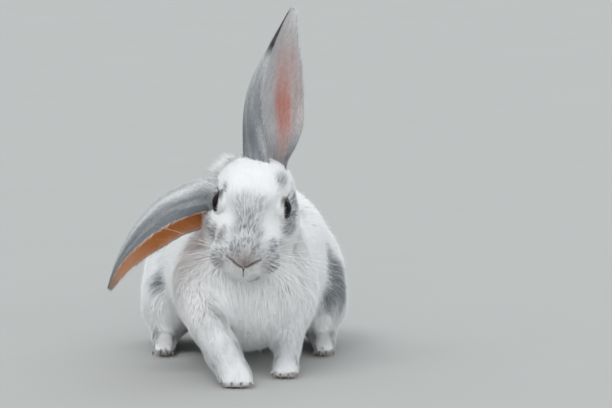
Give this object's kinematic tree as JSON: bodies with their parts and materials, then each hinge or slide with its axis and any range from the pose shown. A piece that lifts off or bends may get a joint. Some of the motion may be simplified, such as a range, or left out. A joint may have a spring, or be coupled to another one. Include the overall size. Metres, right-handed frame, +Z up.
{
  "type": "young domestic rabbit, still life-size model",
  "caption": "Life-size still model of a young white and grey rabbit on all fours, one forepaw a step ahead, one ear upright and the other hanging out to the side.",
  "frame": {"origin": "on the floor, under the middle of the rabbit's box", "axes": "+Z up, the rabbit faces -Y, its left side is +X"},
  "size_m": [0.1728, 0.3152, 0.262],
  "materials": {
    "coat_white": "soft white coat with grey ticking and patches",
    "coat_grey": "short grey coat, pink bare skin inside the ear",
    "eye": "wet, very dark brown",
    "claw": "smooth brown horn"
  },
  "bodies": {
    "root": {"head": "coat_white", "eye_left": "eye", "eye_right": "eye", "neck": "coat_white", "trunk": "coat_white", "ear_left": "coat_grey", "ear_right": "coat_grey", "hind_leg_left": "coat_white", "hind_leg_right": "coat_white", "hind_foot_left": "coat_white", "hind_foot_right": "coat_white", "foreleg_left": "coat_white", "foreleg_right": "coat_white", "forepaw_left": "coat_white", "forepaw_right": "coat_white", "tail": "coat_white", "claw_hind_foot_left_1": "claw", "claw_hind_foot_left_2": "claw", "claw_hind_foot_left_3": "claw", "claw_hind_foot_left_4": "claw", "claw_hind_foot_right_1": "claw", "claw_hind_foot_right_2": "claw", "claw_hind_foot_right_3": "claw", "claw_hind_foot_right_4": "claw", "claw_forepaw_left_1": "claw", "claw_forepaw_left_2": "claw", "claw_forepaw_left_3": "claw", "claw_forepaw_left_4": "claw", "claw_forepaw_right_1": "claw", "claw_forepaw_right_2": "claw", "claw_forepaw_right_3": "claw", "claw_forepaw_right_4": "claw"}
  },
  "joints": []
}
